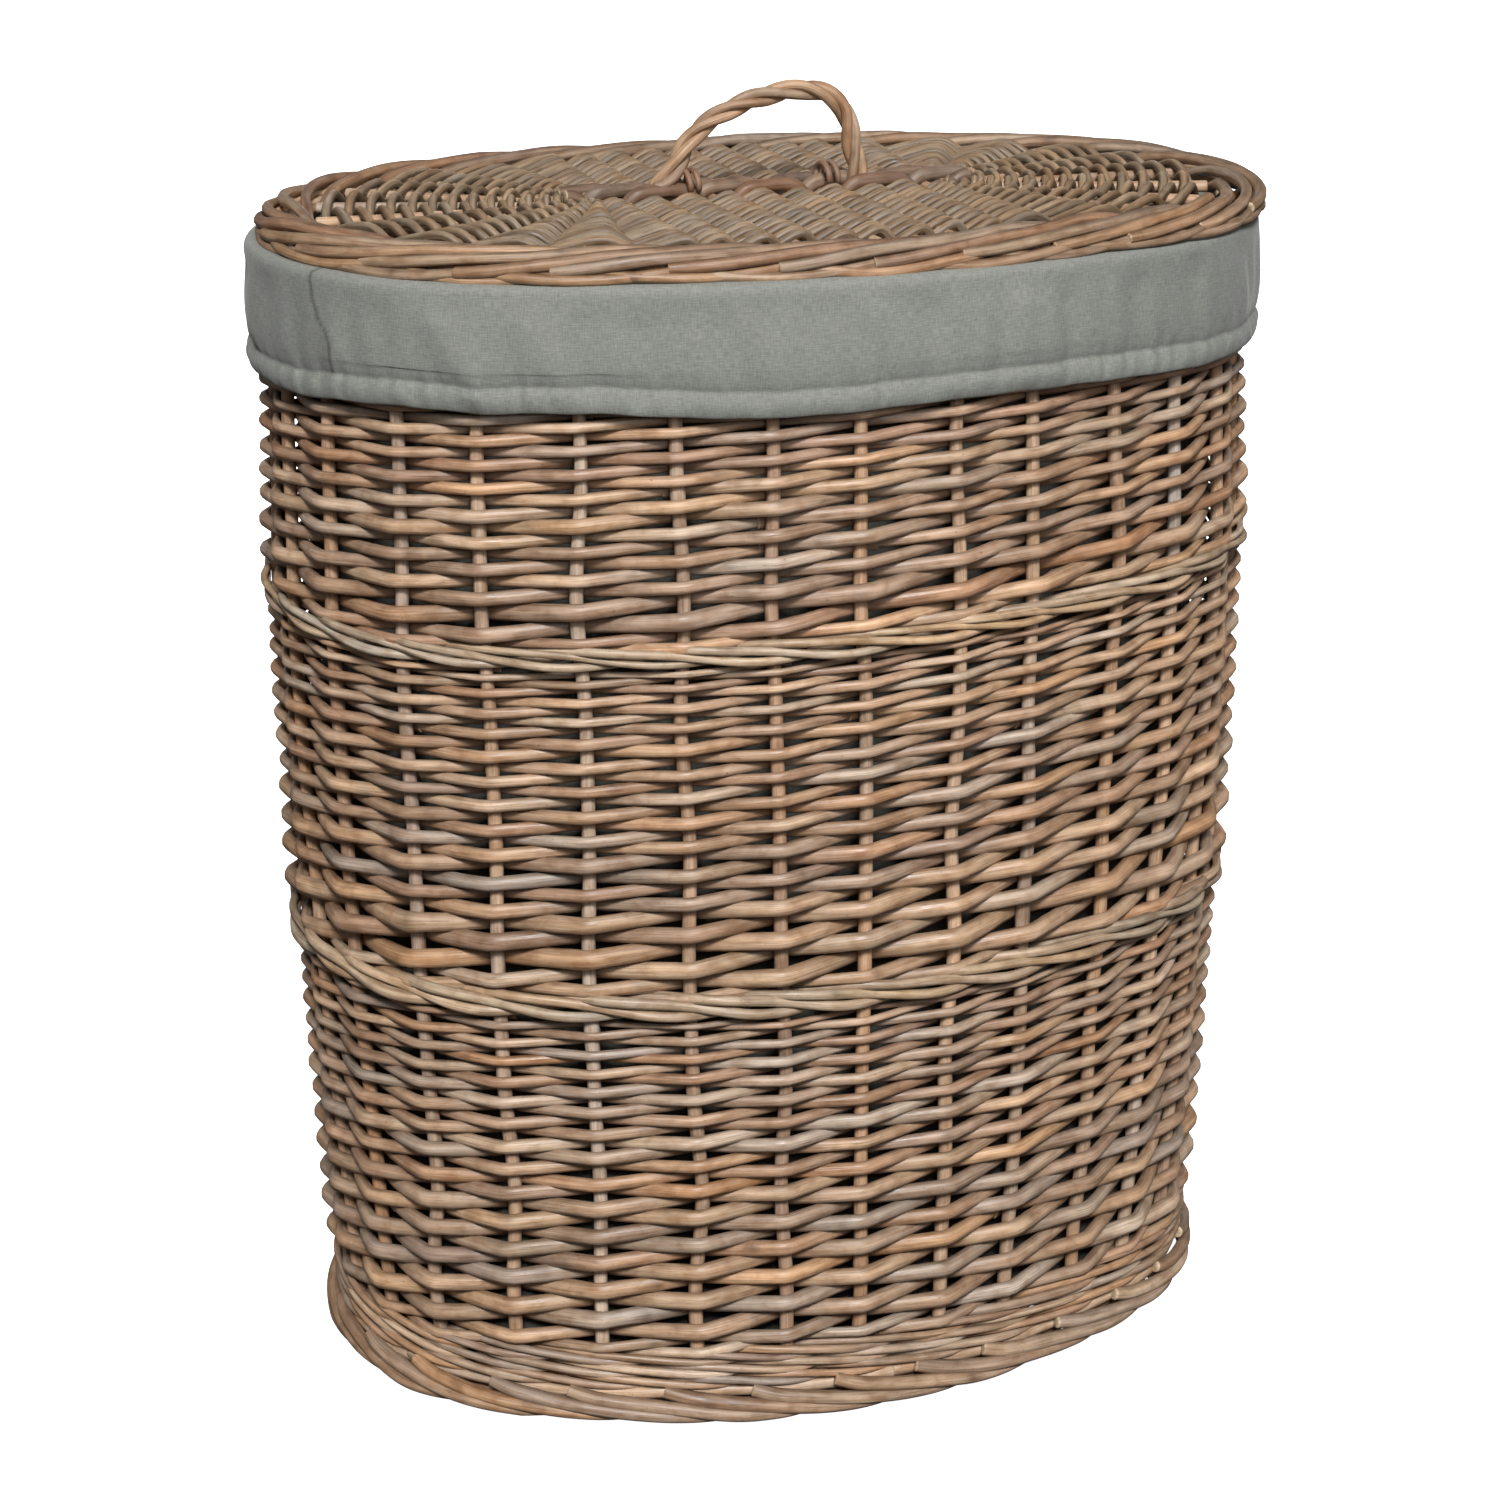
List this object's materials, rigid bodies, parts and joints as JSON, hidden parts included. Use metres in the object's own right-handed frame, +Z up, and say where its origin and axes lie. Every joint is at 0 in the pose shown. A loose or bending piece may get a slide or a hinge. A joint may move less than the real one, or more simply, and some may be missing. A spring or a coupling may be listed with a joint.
{
  "type": "laundry basket",
  "caption": "Oval woven willow laundry basket with a removable linen liner folded over the rim and a loose woven lid with a twisted rope-like handle.",
  "frame": {"origin": "centre of the footprint, on the surface the basket stands on", "axes": "+Z up, +X along the long axis, +Y along the short axis; the side seen from the front faces -Y"},
  "size_m": [0.503, 0.3472, 0.6325],
  "materials": {
    "willow": "unvarnished buff willow with brown and grey streaks",
    "willow_stake": "unvarnished willow",
    "willow_lid": "thin unvarnished willow",
    "willow_spine": "grey-brown willow with bark tone",
    "willow_handle": "twisted unvarnished willow",
    "linen": "plain woven grey-green linen",
    "elastic": "woven elastic, hidden in the hem"
  },
  "bodies": {
    "basket": {"foot_border": "willow", "upset_wale": "willow", "lower_siding": "willow", "lower_wale": "willow", "middle_siding": "willow", "upper_wale": "willow", "upper_siding": "willow", "top_border": "willow", "side_stakes": "willow_stake", "base_weave": "willow", "base_long_sticks": "willow_stake", "base_cross_sticks": "willow_stake"},
    "liner": {"liner_side": "linen", "liner_bottom": "linen", "liner_cuff": "linen", "cuff_elastic": "elastic"},
    "lid": {"lid_border": "willow", "lid_weave": "willow_lid", "lid_long_sticks": "willow_spine", "lid_cross_sticks": "willow_stake", "handle_strand_front": "willow_handle", "handle_strand_back": "willow_handle", "handle_strand_top": "willow_handle", "handle_wrap_left": "willow_handle", "handle_wrap_right": "willow_handle"}
  },
  "joints": [
    {"name": "liner_lift", "type": "slide", "parent": "basket", "child": "liner", "axis": [0, 0, 1], "range_m": [0, 0.6]},
    {"name": "lid_lift", "type": "slide", "parent": "liner", "child": "lid", "axis": [0, 0, 1], "range_m": [0, 0.3]}
  ]
}
